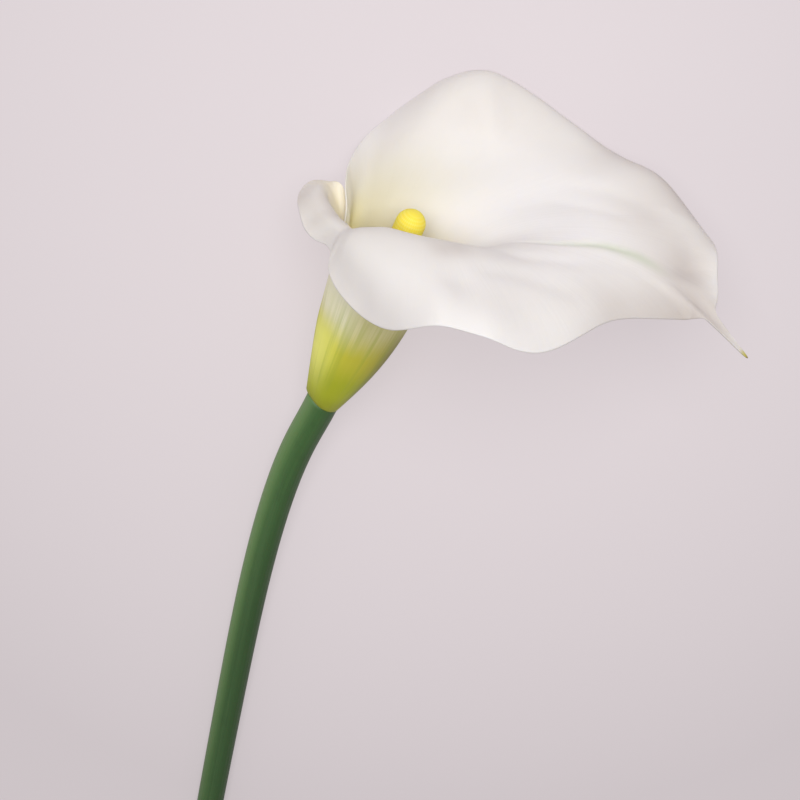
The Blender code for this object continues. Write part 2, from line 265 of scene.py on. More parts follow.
# Where the tube ends and the throat begins: side, height
throatTable = np.array([
    (-1.00, 32), (-0.88, 46), (-0.70, 51), (-0.35, 54), (0.00, 54),
    (0.35, 50), (0.70, 46), (0.88, 41), (1.00, 32)])

# Margin: side, azimuth, radius, height
marginTable = np.array([
    (-1.000, -214, 21.2, 59.5), (-0.980, -211.5, 23.6, 62.4), (-0.960, -209, 24.9, 63.6),
    (-0.935, -205.5, 25.9, 63.8), (-0.900, -195, 28.8, 64.6), (-0.860, -182, 30.3, 62.5),
    (-0.820, -169, 28.2, 60.5), (-0.780, -157, 25.8, 58.6), (-0.740, -146, 24.6, 59.6),
    (-0.700, -135, 25.6, 63.4), (-0.660, -126, 29.5, 65.9), (-0.610, -116, 33.8, 65.4),
    (-0.540, -98, 40.4, 64), (-0.460, -80, 51, 67.5), (-0.380, -68, 58.5, 77),
    (-0.300, -56, 64.3, 79.5), (-0.220, -43, 67.5, 78.3), (-0.150, -27, 67.2, 84),
    (-0.100, -15.5, 71.5, 85), (-0.060, -6.8, 81, 84.8), (-0.030, -4.5, 84.6, 84.6),
    (0.000, -2.5, 87.5, 85.3), (0.025, 0.3, 88, 87.4), (0.050, 3.3, 86.5, 90.5),
    (0.090, 8.5, 84.5, 94.5), (0.140, 15.8, 82, 95.6), (0.200, 30, 75.6, 95.8),
    (0.270, 43, 73.3, 90.1), (0.350, 57.5, 68, 89.3), (0.430, 72, 60, 92.9),
    (0.500, 87, 54.1, 94.8), (0.570, 100, 50.5, 87.5), (0.650, 113.4, 47.6, 71.3),
    (0.730, 129, 35.5, 66.3), (0.820, 149, 23, 64), (0.910, 165, 15.6, 57.5),
    (1.000, 190, 11.7, 46)])

# Crest of the throat and middle of the limb:
# side, crest radius and height, middle radius and height, angle of the wall at the margin
limbTable = np.array([
    (-1.00, 15.7, 48.0, 17.8, 54.0, 35), (-0.95, 19.4, 55.6, 22.8, 60.4, 50),
    (-0.90, 22.6, 60.6, 26.3, 64.0, 80), (-0.86, 19.6, 61.8, 25.0, 64.6, 110),
    (-0.78, 17.0, 64.0, 21.5, 64.5, 125), (-0.70, 17.0, 66.3, 21.3, 67.2, 125),
    (-0.62, 18.2, 69.6, 26.0, 70.4, 125), (-0.54, 19.2, 74.5, 31.0, 73.0, 125),
    (-0.46, 20.0, 76.6, 36.5, 77.2, 125), (-0.38, 21.0, 77.6, 41.0, 81.0, 125),
    (-0.30, 22.4, 78.6, 44.0, 83.0, 125), (-0.22, 24.0, 78.6, 46.5, 83.6, 120),
    (-0.15, 25.6, 77.8, 48.5, 84.8, 112), (-0.08, 26.6, 76.4, 50.5, 86.6, 112),
    (0.00, 27.0, 74.4, 53.0, 88.2, 114), (0.06, 27.0, 73.4, 53.6, 89.4, 100),
    (0.12, 26.6, 72.8, 53.0, 89.4, 98), (0.20, 25.6, 71.4, 50.0, 87.0, 132),
    (0.28, 24.4, 69.8, 47.2, 84.6, 142), (0.43, 21.8, 66.4, 41.5, 82.0, 136),
    (0.50, 20.6, 64.4, 38.0, 80.5, 112), (0.65, 19.0, 60.0, 31.0, 67.5, 95),
    (0.73, 17.6, 57.0, 25.5, 62.5, 80), (0.82, 15.4, 54.0, 18.6, 60.0, 45),
    (0.91, 12.6, 49.5, 14.1, 54.5, 20), (1.00, 11.2, 41.0, 11.4, 44.0, 8)])

# Heights of the seven knots of each side's line, from the foot to the margin
knotRows = (0.0, 0.11, 0.22, 0.33, 0.47, 0.72, 1.0)
crestKnot = 4

# The midrib's line: height, side
midrib = [(0.0, 0.0), (0.474, 0.0), (0.587, -0.035), (0.669, -0.006), (0.722, 0.012),
          (0.797, 0.014), (0.861, 0.01), (1.0, 0.0)]

# Soft valleys and ridges: (height, side) points of each line, half width and rise in mm, where
# a rise above 0 goes away from the mouth, the shares of its length over which it fades in and
# out, and how much painted shade darkens the leaf along it
folds = [
    # midrib, and the two creases of the near half beside it
    {"line": midrib[1:6], "width": 1.3, "rise": 0.3, "fade": (0.3, 0.2)},
    {"line": [(0.527, -0.167), (0.59, -0.145), (0.633, -0.122), (0.682, -0.10), (0.769, -0.075)],
     "width": 2.6, "rise": 0.42, "fade": (0.3, 0.3)},
    {"line": [(0.641, -0.308), (0.667, -0.253), (0.696, -0.185), (0.802, -0.155), (0.876, -0.128)],
     "width": 3.5, "rise": 0.5, "fade": (0.25, 0.3)},
    # valley between the two near lobes
    {"line": [(0.63, -0.335), (0.70, -0.33), (0.80, -0.33), (0.90, -0.335), (1.0, -0.34)],
     "width": 6.0, "rise": 1.5, "fade": (0.4, 0.0)},
    # valley across the foot of the tail
    {"line": [(0.95, 0.14), (0.94, 0.115), (0.934, 0.085), (0.934, 0.06), (0.938, 0.04),
              (0.945, 0.02)],
     "width": 7.0, "rise": 2.4, "fade": (0.5, 0.3), "shade": 0.25},
    # painted shade without relief: round the tail's foot, inside the far rim, on the near crest
    {"line": [(0.885, 0.085), (0.92, 0.055), (0.935, 0.02), (0.955, -0.01), (0.973, -0.03)],
     "width": 7.0, "rise": 0.0, "fade": (0.4, 0.1), "shade": 0.26},
    {"line": [(0.90, -0.03), (0.935, -0.06), (0.945, -0.10), (0.93, -0.15)],
     "width": 7.0, "rise": 0.0, "fade": (0.3, 0.3), "shade": 0.22},
    {"line": [(0.88, 0.34), (0.945, 0.28), (0.965, 0.22), (0.97, 0.16), (0.955, 0.135),
              (0.92, 0.12)],
     "width": 8.0, "rise": 0.0, "fade": (0.3, 0.3), "shade": 0.5},
    {"line": [(0.80, 0.22), (0.83, 0.15), (0.85, 0.09), (0.88, 0.0), (0.925, -0.09)],
     "width": 10.0, "rise": 0.0, "fade": (0.4, 0.3), "shade": 0.28},
    {"line": [(0.63, -0.41), (0.60, -0.35), (0.575, -0.30), (0.56, -0.22)],
     "width": 5.0, "rise": 0.0, "fade": (0.4, 0.4), "shade": 0.35},
    # streaks of the far half
    {"line": [(0.663, 0.25), (0.724, 0.212), (0.762, 0.187), (0.80, 0.165), (0.838, 0.143),
              (0.873, 0.118)],
     "width": 3.0, "rise": 0.45, "fade": (0.4, 0.2)},
    {"line": [(0.603, 0.212), (0.652, 0.18), (0.691, 0.158), (0.747, 0.13), (0.796, 0.092)],
     "width": 2.0, "rise": 0.22, "fade": (0.4, 0.3)},
    # ridge up to the peak
    {"line": [(0.66, 0.40), (0.771, 0.438), (0.873, 0.478), (0.96, 0.494)],
     "width": 3.5, "rise": -0.7, "fade": (0.4, 0.0)},
]

# Margins that roll back: sides between which the roll comes and goes, its width and depth in mm,
# how far the margin also reaches out as a share of the depth, and how much painted shade darkens it
curls = [
    {"comes": (-0.97, -0.93), "goes": (-0.86, -0.80),
     "width": 6.0, "depth": 2.0, "reach": 0.2, "shade": 0.4},
    {"comes": (-0.78, -0.60), "goes": (-0.52, -0.38),
     "width": 17.0, "depth": 7.0, "reach": -0.1, "shade": 0.28},
    {"comes": (-0.24, -0.12), "goes": (-0.05, -0.01),
     "width": 20.0, "depth": 2.5, "reach": 0.0, "shade": 0.36},
    {"comes": (0.07, 0.20), "goes": (0.30, 0.46),
     "width": 14.0, "depth": 4.2, "reach": 0.8, "shade": 0.5},
]


def baseAzimuth(side):
    return spathe["wrap"] * side + spathe["wrapSkew"] * side ** 2


# Seven knots of each side's line, foot to margin: the tube's radius at thirds of its height,
# the crest, the middle of the limb and the margin
def profileKnots(side):
    foot = spathe["baseSlant"] * (1 - np.cos(np.radians(baseAzimuth(side))))
    throat = spline(side, throatTable[:, 0], throatTable[:, 1])
    onSides = spathe["layerSides"]
    layer = spathe["layerStep"] * (smoothStep(-side, *onSides) - smoothStep(side, *onSides))
    lean = spathe["tubeLean"] * np.cos(np.radians(baseAzimuth(side)))
    radii, heights = [], []
    for share in (0, 1 / 3, 2 / 3, 1):
        z = foot + (throat - foot) * share
        radii.append(spline(z, tubeTable[:, 0], tubeTable[:, 1]) + layer
                     + lean * np.minimum(z / spathe["tubeLeanHeight"], 1))
        heights.append(z)
    for column in (1, 3):
        radii.append(spline(side, limbTable[:, 0], limbTable[:, column]))
        heights.append(spline(side, limbTable[:, 0], limbTable[:, column + 1]))
    radii.append(spline(side, marginTable[:, 0], marginTable[:, 2]))
    heights.append(spline(side, marginTable[:, 0], marginTable[:, 3]))
    return np.stack(radii, -1), np.stack(heights, -1)


# Every line's cubic spline by length, free at the foot and leaving the margin at endSlope
def clampedSpline(values, step, endSlope, place, rows, span):
    lines, count = values.shape
    system = np.zeros((lines, count, count))
    right = np.zeros((lines, count))
    slope = np.diff(values, axis=1) / step
    system[:, 0, 0] = 1
    for i in range(1, count - 1):
        system[:, i, i - 1] = step[:, i - 1]
        system[:, i, i] = 2 * (step[:, i - 1] + step[:, i])
        system[:, i, i + 1] = step[:, i]
    system[:, -1, -2] = step[:, -1]
    system[:, -1, -1] = 2 * step[:, -1]
    right[:, 1:-1] = 6 * np.diff(slope, axis=1)
    right[:, -1] = 6 * (endSlope - slope[:, -1])
    bend = np.linalg.solve(system, right[..., None])[..., 0].T
    step, place, values = step.T[span], place.T, values.T
    a, b = (place[span + 1] - rows) / step, (rows - place[span]) / step
    cubic = ((a ** 3 - a) * bend[span] + (b ** 3 - b) * bend[span + 1]) * step ** 2 / 6
    return a * values[span] + b * values[span + 1] + cubic


# Middle of the leaf's thickness, one row for each height and one column for each side:
# (r cos a, r sin a, z), where r and z follow the side's line and the azimuth a turns
# smoothly from the tube's to the margin's, plus the tail, a bell of the side that grows as a
# power of the height. Also gives the length up each line
def leafSurface(side, height):
    radius, z = profileKnots(side)
    step = np.hypot(np.diff(radius, axis=1), np.diff(z, axis=1))
    place = np.concatenate([np.zeros((len(side), 1)), np.cumsum(step, axis=1)], 1)
    span = np.clip(np.searchsorted(knotRows, height, side="right") - 1, 0, len(knotRows) - 2)
    rows = np.stack([np.interp(height, knotRows, line) for line in place], -1)
    end = np.radians(spline(side, limbTable[:, 0], limbTable[:, 5]))
    radius = clampedSpline(radius, step, np.sin(end), place, rows, span)
    z = clampedSpline(z, step, np.cos(end), place, rows, span)
    turn = smoothStep((rows - place[:, 2]) / (place[:, -1] - place[:, 2]), 0, 1)
    marginAzimuth = spline(side, marginTable[:, 0], marginTable[:, 1])
    azimuth = np.radians((1 - turn) * baseAzimuth(side) + turn * marginAzimuth)
    grown = np.clip((height - spathe["tailRoot"]) / (1 - spathe["tailRoot"]), 0, 1)
    grown = grown[:, None] ** spathe["tailGrowth"]
    width = spathe["tailWidth"] * (1 + spathe["tailFlare"] * (1 - grown))
    tail = (grown * bell(side, width))[..., None] * spathe["tail"]
    return np.stack([radius * np.cos(azimuth), radius * np.sin(azimuth), z], -1) + tail, rows


# Places from low to high whose spacing is inverse to a density
def spaced(low, high, count, density):
    samples = 4000
    fine = np.linspace(low, high, samples)
    total = np.concatenate([[0], np.cumsum(density((fine[1:] + fine[:-1]) / 2))])
    return np.interp(np.linspace(0, total[-1], count), total, fine)


# Columns crowd at the midrib and the flap, rows at the crest and the margin
def leafGrid():
    crowd = lambda s: 1 + 7 * bell(s, 0.035) + 1.2 * bell(s + 0.85, 0.16)
    crowdUp = lambda h: 1 + 0.8 * bell(h - 0.5, 0.12) + 1.6 * bell(h - 1, 0.08)
    half = spathe["columns"] // 2
    sides = np.concatenate([spaced(-1, 0, half, crowd)[:-1], spaced(0, 1, half, crowd)])
    return sides, spaced(0, 1, spathe["rows"], crowdUp)


# Distance in mm of each point of the grid from a line on the leaf, by short straight
# segments, and a fade that grows from 0 over the first share of its length and dies over the last
def nearLine(middle, line, shares, far):
    line = np.array(line)
    samples = 33
    knots, fine = np.linspace(0, 1, len(line)), np.linspace(0, 1, samples)
    path = leafSurface(spline(fine, knots, line[:, 1]), spline(fine, knots, line[:, 0]))[0]
    path = path[np.arange(len(fine)), np.arange(len(fine))]
    distance, place = np.full(middle.shape[:2], float(far)), np.zeros(middle.shape[:2])
    close = np.all((middle > path.min(0) - far) & (middle < path.max(0) + far), axis=-1)
    offset, step = middle[close][:, None] - path[:-1], np.diff(path, axis=0)
    along = np.clip((offset * step).sum(-1) / (step ** 2).sum(-1), 0, 1)
    gap = np.linalg.norm(offset - along[..., None] * step, axis=-1)
    nearest, each = gap.argmin(1), np.arange(len(gap))
    distance[close] = np.minimum(gap[each, nearest], far)
    reach = np.concatenate([[0], np.cumsum(np.linalg.norm(step, axis=1))])
    place[close] = (reach[nearest] + along[each, nearest] * np.diff(reach)[nearest]) / reach[-1]
    grows, dies = smoothStep(place, -0.01, shares[0]), smoothStep(place, 1 - shares[1], 1.01)
    return distance, grows * (1 - dies)


# The leaf with relief: the middle surface plus folds, each rise * exp(-(distance / width)^2),
# margins that roll back by depth * (1 - distance / width)^2, and a slight ripple at the margin
def leafMiddle(sides, heights):
    middle, rows = leafSurface(sides, heights)
    acrossSide = np.gradient(middle, sides, axis=1)
    outward = unit(np.cross(acrossSide, np.gradient(middle, heights, axis=0)))
    upward = unit(np.gradient(middle, heights, axis=0))
    relief, stretch, shade = np.zeros((3, *rows.shape))
    for fold in folds:
        distance, fade = nearLine(middle, fold["line"], fold["fade"], 3 * fold["width"])
        shape = fade * bell(distance, fold["width"])
        relief += fold["rise"] * shape
        # painted shade along the fold, for the leaf's colour
        shade += fold.get("shade", 0) * shape
    tip = middle[-1, np.argmin(np.abs(sides))]
    relief *= smoothStep(np.linalg.norm(middle - tip, axis=-1), *spathe["tailCalm"])
    toMargin = rows[-1] - rows
    for curl in curls:
        shape = np.clip(1 - toMargin / curl["width"], 0, 1) ** 2
        shape = shape * smoothStep(sides, *curl["comes"]) * (1 - smoothStep(sides, *curl["goes"]))
        relief += curl["depth"] * shape
        stretch += curl["reach"] * curl["depth"] * shape
        # painted shade on the rolled margin, for the leaf's colour
        shade += curl["shade"] * shape
    drift, pace = spathe["rippleDrift"]
    wave = np.sin(spathe["rippleCount"] * math.pi * sides + drift * np.sin(pace * sides))
    wave = wave * smoothStep(np.abs(sides), *spathe["rippleSides"])
    relief += spathe["rippleHeight"] * wave * bell(toMargin, spathe["rippleReach"])
    middle = middle + outward * relief[..., None] + upward * stretch[..., None]
    return middle, rows, toMargin, shade, np.linalg.norm(acrossSide, axis=-1)


# Closed shell round the sheet: outer face, inner face and a rounded rim along the border
def buildLeaf(look):
    sides, heights = leafGrid()
    middle, rows, toMargin, shade, sideLength = leafMiddle(sides, heights)
    upward = np.gradient(middle, heights, axis=0)
    sideways = np.gradient(middle, sides, axis=1)
    outward = unit(np.cross(sideways, upward))
    thin = bell(toMargin, spathe["marginTaper"])
    half = (spathe["sheet"] + (spathe["marginSheet"] - spathe["sheet"]) * thin)[..., None] / 2
    outer, inner = middle + outward * half, middle - outward * half

    rowCount, columnCount = len(heights), len(sides)
    index = np.arange(rowCount * columnCount).reshape(rowCount, columnCount)
    border = np.concatenate([index[0, :-1], index[:-1, -1], index[-1, :0:-1], index[:0:-1, 0]])
    away = np.zeros_like(middle)
    away[0], away[-1] = -unit(upward[0]) * spathe["footReach"], unit(upward[-1])
    away[1:-1, -1], away[1:-1, 0] = unit(sideways[1:-1, -1]), -unit(sideways[1:-1, 0])
    rim = (middle + away * half * spathe["rimReach"]).reshape(-1, 3)[border]

    corners = [index[:-1, :-1], index[:-1, 1:], index[1:, 1:], index[1:, :-1]]
    quads = np.stack(corners, -1).reshape(-1, 4)
    shift = index.size
    rimIndex = 2 * shift + np.arange(len(border))
    nextBorder, nextRim = np.roll(border, -1), np.roll(rimIndex, -1)
    faces = [quads, quads[:, ::-1] + shift,
             np.stack([border, rimIndex, nextRim, nextBorder], -1),
             np.stack([rimIndex, border + shift, nextBorder + shift, nextRim], -1)]

    height = heights[:, None]
    vein = np.array(midrib)
    tip = middle[-1, np.argmin(np.abs(sides))]
    flat = {
        "side": np.broadcast_to(sides, rows.shape),
        "height": np.broadcast_to(height, rows.shape),
        "rise": middle[..., 2],
        "shade": shade,
        "crestGap": rows - rows[np.argmin(np.abs(heights - knotRows[crestKnot]))],
        "veinGap": (sides - np.interp(height, vein[:, 0], vein[:, 1])) * sideLength,
        "tipGap": np.linalg.norm(middle - tip, axis=-1),
    }
    spread = lambda values: np.concatenate([values.ravel(), values.ravel(), values.ravel()[border]])
    fields = {name: spread(values) for name, values in flat.items()}
    halfway = np.full(len(border), 0.5)
    fields["innerFace"] = np.concatenate([np.zeros(shift), np.ones(shift), halfway])
    fields["leafMap"] = np.stack([fields["side"], fields["height"], fields["innerFace"]], -1)
    points = np.concatenate([outer.reshape(-1, 3), inner.reshape(-1, 3), rim])
    makePiece("whiteSpathe", points, faces, fields, look, "spathe")


petalPaint = {
    "ivory": (0.85, 0.82, 0.795),
    "litIvory": (0.955, 0.925, 0.905),
    "shaded": (0.55, 0.49, 0.455),
    "flapCreamLit": (0.89, 0.82, 0.67),
    "flapYellow": (0.80, 0.73, 0.36),
    "throat": (0.67, 0.625, 0.44),
    "deepThroat": (0.68, 0.60, 0.22),
    "outside": (0.83, 0.80, 0.76),
    "cream": (0.96, 0.92, 0.64),
    "yellow": (0.68, 0.655, 0.06),
    "litYellow": (0.96, 0.95, 0.22),
    "chartreuse": (0.43, 0.47, 0.022),
    "tubeFoot": (0.35, 0.375, 0.022),
    "olive": (0.48, 0.41, 0.075),
    "ochre": (0.46, 0.41, 0.04),
    "tubeEdgeShade": (0.13, 0.14, 0.03),
    "greenStreak": (0.38, 0.44, 0.04),
    "stripe": (0.44, 0.50, 0.12),
    "edgeYellow": (0.78, 0.74, 0.08),
    "vein": (0.56, 0.65, 0.47),
    "tailTip": (0.52, 0.47, 0.13),
    "tailEnd": (0.22, 0.15, 0.05),
}


def petalLook():
    paint = Paint("ivoryPetal", Roughness=0.52, Subsurface_Weight=0.35, Subsurface_Scale=0.0015,
                  Subsurface_Radius=(1.0, 0.9, 0.7), IOR=1.4, Specular_IOR_Level=0.3)
    side, crestGap, rise = paint.field("side"), paint.field("crestGap"), paint.field("rise")
    height, veinGap, tipGap = paint.field("height"), paint.field("veinGap"), paint.field("tipGap")
    inner = paint.field("innerFace")
    leafMap = paint.place("leafMap")
    # long soft streaks and fine parallel veins that follow the leaf's lines
    streak = paint.noise(paint.stretched(leafMap, (16, 1.2, 1)), 1.0, 2.0)
    fine = paint.noise(paint.stretched(leafMap, (95, 2.5, 1)), 1.0, 2.0, 0.6)
    cloud = paint.noise(paint.place(), 45.0, 3.0, 0.55)

    # inside: ivory, yellower round the throat's crest and below it, least near the midrib; the
    # throat's yellows are its own colour and also darker as painted shade down in the funnel
    ridge = crestGap + (streak - 0.5) * 6
    yellowing = 0.12 + side.between(0.15, 0.75) * 0.88
    yellowing = ridge.between(27, -5) * yellowing
    inside = paint.blend(yellowing, petalPaint["ivory"], petalPaint["throat"])
    # cream on the flap's inner wall: its own tint, painted lighter than the throat's yellow to lift
    # its shade
    inside = paint.blend(side.between(-0.87, -0.93), inside, petalPaint["flapCreamLit"])
    joining = side.between(-0.90, -0.96) * 0.3 + side.between(0.66, 0.84)
    inside = paint.blend(joining * crestGap.between(9, 0) * 0.8, inside, petalPaint["flapYellow"])
    inside = paint.blend(ridge.between(-4, -32), inside, petalPaint["deepThroat"])
    # painted shade on the flap, along the top of the far rim and round the tail's foot
    flap = side.between(-0.70, -0.78) * side.between(-0.91, -0.84) * 0.36
    farRim = side.hump(0.48, 0.20) * height.between(0.62, 0.78) * 0.22
    tailFoot = tipGap.hump(21, 9) * side.between(0.05, -0.01) * 0.6
    inside = paint.blend(flap + farRim + tailFoot, inside, petalPaint["shaded"])
    # painted light: a lighter ivory over the middle of the far wall, lifting its shade
    middle = side.hump(0.10, 0.28) * height.between(0.32, 0.46) * height.between(0.84, 0.66)
    inside = paint.blend(middle, inside, petalPaint["litIvory"])
    veinMask = veinGap.hump(0, 1.8) * height.between(0.5, 0.75) * height.between(0.90, 0.80)
    inside = paint.blend(veinMask * 0.55, inside, petalPaint["vein"])

    # outside: green foot, chartreuse, yellow, cream, then white; the midrib's side is olive
    nearMidrib = side.hump(-0.02, 0.24)
    level = rise + (streak - 0.5) * 9 + (cloud - 0.5) * 5
    creamy = (level - nearMidrib * 8).between(54, 40)
    outside = paint.blend(creamy, petalPaint["outside"], petalPaint["cream"])
    stripes = fine.between(0.42, 0.62) * 0.5 + streak.between(0.45, 0.6) * 0.5
    outside = paint.blend(stripes * level.between(50, 34) * 0.45, outside, petalPaint["stripe"])
    outside = paint.blend(level.between(38, 25), outside, petalPaint["yellow"])
    outside = paint.blend(nearMidrib * level.between(50, 26) * 0.8, outside, petalPaint["olive"])
    ochre = side.between(-0.56, -0.38) * level.between(54, 40) * 0.42
    outside = paint.blend(ochre, outside, petalPaint["ochre"])
    outside = paint.blend(level.between(26, 13), outside, petalPaint["chartreuse"])
    outside = paint.blend(rise.between(9, 2), outside, petalPaint["tubeFoot"])
    # a brighter yellow on the tube's left, partly its own colour and partly painted light on the lit
    # side
    litLeft = side.between(-0.42, -0.70) * rise.between(3, 22) * (0.8 + streak * 0.2)
    outside = paint.blend(litLeft * rise.between(37, 26), outside, petalPaint["litYellow"])
    edge = side.between(-0.80, -0.88) * rise.between(14, 22) * rise.between(54, 42)
    outside = paint.blend(edge, outside, petalPaint["edgeYellow"])
    greenStreak = streak.between(0.50, 0.62) * rise.between(6, 14) * rise.between(46, 26) * 0.4
    outside = paint.blend(greenStreak, outside, petalPaint["greenStreak"])
    # painted shade: a dark band along the tube's edge beside the midrib, which turns away from the
    # light
    tubeEdgeShade = side.hump(-0.05, 0.11) * rise.between(2, 8) * rise.between(46, 26) * 0.75
    outside = paint.blend(tubeEdgeShade, outside, petalPaint["tubeEdgeShade"])
    rib = veinGap.hump(0, 1.0) * height.between(0.2, 0.4) * height.between(0.92, 0.8)
    outside = paint.blend(rib * 0.35, outside, petalPaint["vein"])

    colour = paint.blend(inner, outside, inside)
    # painted shade along the folds and rolled margins, then over the tail within about 20 mm of its
    # tip
    colour = paint.blend(paint.field("shade") * (0.85 + streak * 0.3), colour, petalPaint["shaded"])
    colour = paint.blend(tipGap.between(20, 12) * 0.42, colour, petalPaint["shaded"])
    colour = paint.blend(tipGap.between(4.0, 1.2), colour, petalPaint["tailTip"])
    colour = paint.blend(tipGap.between(1.2, 0.3) * 0.7, colour, petalPaint["tailEnd"])
    relief = fine * 0.5 + streak * 0.9 + cloud * 0.2
    roughness = 0.48 + (fine - 0.5) * 0.10 + (cloud - 0.5) * 0.08
    return paint.finish(colour, roughness, relief, spathe["bumpDepth"])


# The spadix is a spike of tiny flowers
spadix = {
    "radius": 4.3,
    "footRadius": 3.0,
    "footTop": 18.0,       # where the foot has reached the full radius
    "bareTop": 12.0,       # below it the florets fade out
    "base": 4.95,
    "top": 72.8,
    "lean": 2.3,
    "floretHeight": 0.035,
    "floretsRound": 19,
    "floretsAlong": 56,
    "sides": 150,
    "rings": 420,
    "domeRings": 62,       # of them, on the round tip
    "bumpDepth": 0.05,
}


# Rings of radius R(z) round the leaning axis, R = foot profile * round tip + florets, where
# the florets are cos(n a + m z) cos(n a - m z), a diamond lattice
def buildSpadix(look):
    tip = spadix["top"] - spadix["radius"]
    domeRings = spadix["domeRings"]
    angle = np.linspace(0, math.pi / 2, domeRings + 2)[1:-1]
    straight = np.linspace(spadix["base"], tip, spadix["rings"] - domeRings)
    heights = np.concatenate([straight, tip + spadix["radius"] * np.sin(angle)])[:, None]
    azimuth = np.linspace(0, 2 * math.pi, spadix["sides"], endpoint=False)
    dome = np.sqrt(np.clip(1 - (np.maximum(heights - tip, 0) / spadix["radius"]) ** 2, 0, 1))
    swell = smoothStep(heights, spadix["base"], spadix["footTop"])
    foot = spadix["footRadius"] + (spadix["radius"] - spadix["footRadius"]) * swell
    arc = np.concatenate([straight, tip + spadix["radius"] * angle])[:, None]
    along = (arc - spadix["base"]) / (tip - spadix["base"]) * spadix["floretsAlong"] * math.pi
    turned = spadix["floretsRound"] * azimuth
    lattice = np.cos(turned + along) * np.cos(turned - along)
    calm = smoothStep(dome, 0.25, 0.7) * smoothStep(heights, spadix["base"], spadix["bareTop"])
    radius = foot * dome + spadix["floretHeight"] * lattice * calm
    shift = spadix["lean"] * smoothStep(heights, 0, spadix["top"])
    points = np.stack([shift + radius * np.cos(azimuth), radius * np.sin(azimuth),
                       heights + 0 * azimuth], -1)
    ends = np.array([(0, 0, spadix["base"]), (spadix["lean"], 0, spadix["top"])])
    faces, points = closedTube(points, ends)
    fields = {"rise": np.append((heights + 0 * azimuth).ravel(), ends[:, 2]),
              "floret": np.append((lattice * calm).ravel(), [0, 0])}
    makePiece("yellowSpadix", points, faces, fields, look, "spadix")


# Sleeve of rings with a fan on a centre point at each end; the first end comes first
def closedTube(rings, ends):
    count, sides = rings.shape[:2]
    index = np.arange(count * sides).reshape(count, sides)
    after = np.roll(index, -1, axis=1)
    quads = np.stack([index[:-1], after[:-1], after[1:], index[1:]], -1).reshape(-1, 4)
    first = np.full(sides, count * sides)
    firstFan = np.stack([first, after[0], index[0]], -1)
    lastFan = np.stack([first + 1, index[-1], after[-1]], -1)
    return [quads, firstFan, lastFan], np.concatenate([rings.reshape(-1, 3), ends])


spadixPaint = {
    "gold": (0.98, 0.79, 0.055),
    "light": (1.0, 0.87, 0.20),
    "grooveShade": (0.92, 0.66, 0.03),
    "foot": (0.62, 0.56, 0.10),
}


def spadixLook():
    paint = Paint("goldenSpadix", Roughness=0.6, Subsurface_Weight=0.25, Subsurface_Scale=0.0012,
                  Subsurface_Radius=(1.0, 0.7, 0.2), Specular_IOR_Level=0.3)
    grain = paint.noise(paint.place(), 900.0, 2.0)
    patch = paint.noise(paint.place(), 120.0, 2.0)
    floret = paint.field("floret")
    # painted highlight on the florets' tops and painted shade in their grooves; the patches vary the
    # gold at random
    lit = floret.between(-0.2, 0.8) * 0.6 + patch * 0.3
    colour = paint.blend(lit, spadixPaint["gold"], spadixPaint["light"])
    colour = paint.blend(floret.between(0.0, -0.9) * 0.12, colour, spadixPaint["grooveShade"])
    colour = paint.blend(paint.field("rise").between(40, 10) * 0.6, colour, spadixPaint["foot"])
    return paint.finish(colour, 0.55 + grain * 0.15, grain, spadix["bumpDepth"])


# The stem, millimetres from the bloom's base in the floor's frame
stem = {
    "radius": 5.1,
    "endRadius": 3.6,
    "path": [(0.0, 0.0, 0.0), (-6.8, -13.7, -4.7), (-14.7, -34.3, -8.8), (-20.5, -54.8, -10.9),
             (-26.8, -82.3, -12.4), (-32.5, -110.2, -13.3), (-38.1, -138.3, -13.8),
             (-47.4, -188.0, -14.5), (-55.4, -234.0, -15.0)],
    "lead": 12.0,          # length of the straight run along the axis that guides the top
    "sides": 96,
    "rings": 420,
    "ringSpread": 1.15,    # power that sets the rings closer together near the bloom
    "cutSlant": 2.4,
    "cutDish": 0.25,       # how deep the middle of the cut lies
    "plugRadius": 3.3,
    "plugTop": 4.6,
    "gap": 0.35,
    "litSide": 167,       # azimuth of the side painted lighter, as light falls on it, degrees backwards
    "rib": 0.035,
    "ribs": 23,
    "ribReach": 8.0,       # over which the ribs set in below the bloom
    "cutRings": (0.97, 0.9, 0.78, 0.62, 0.45, 0.28, 0.12),
    "bumpDepth": 0.08,
}


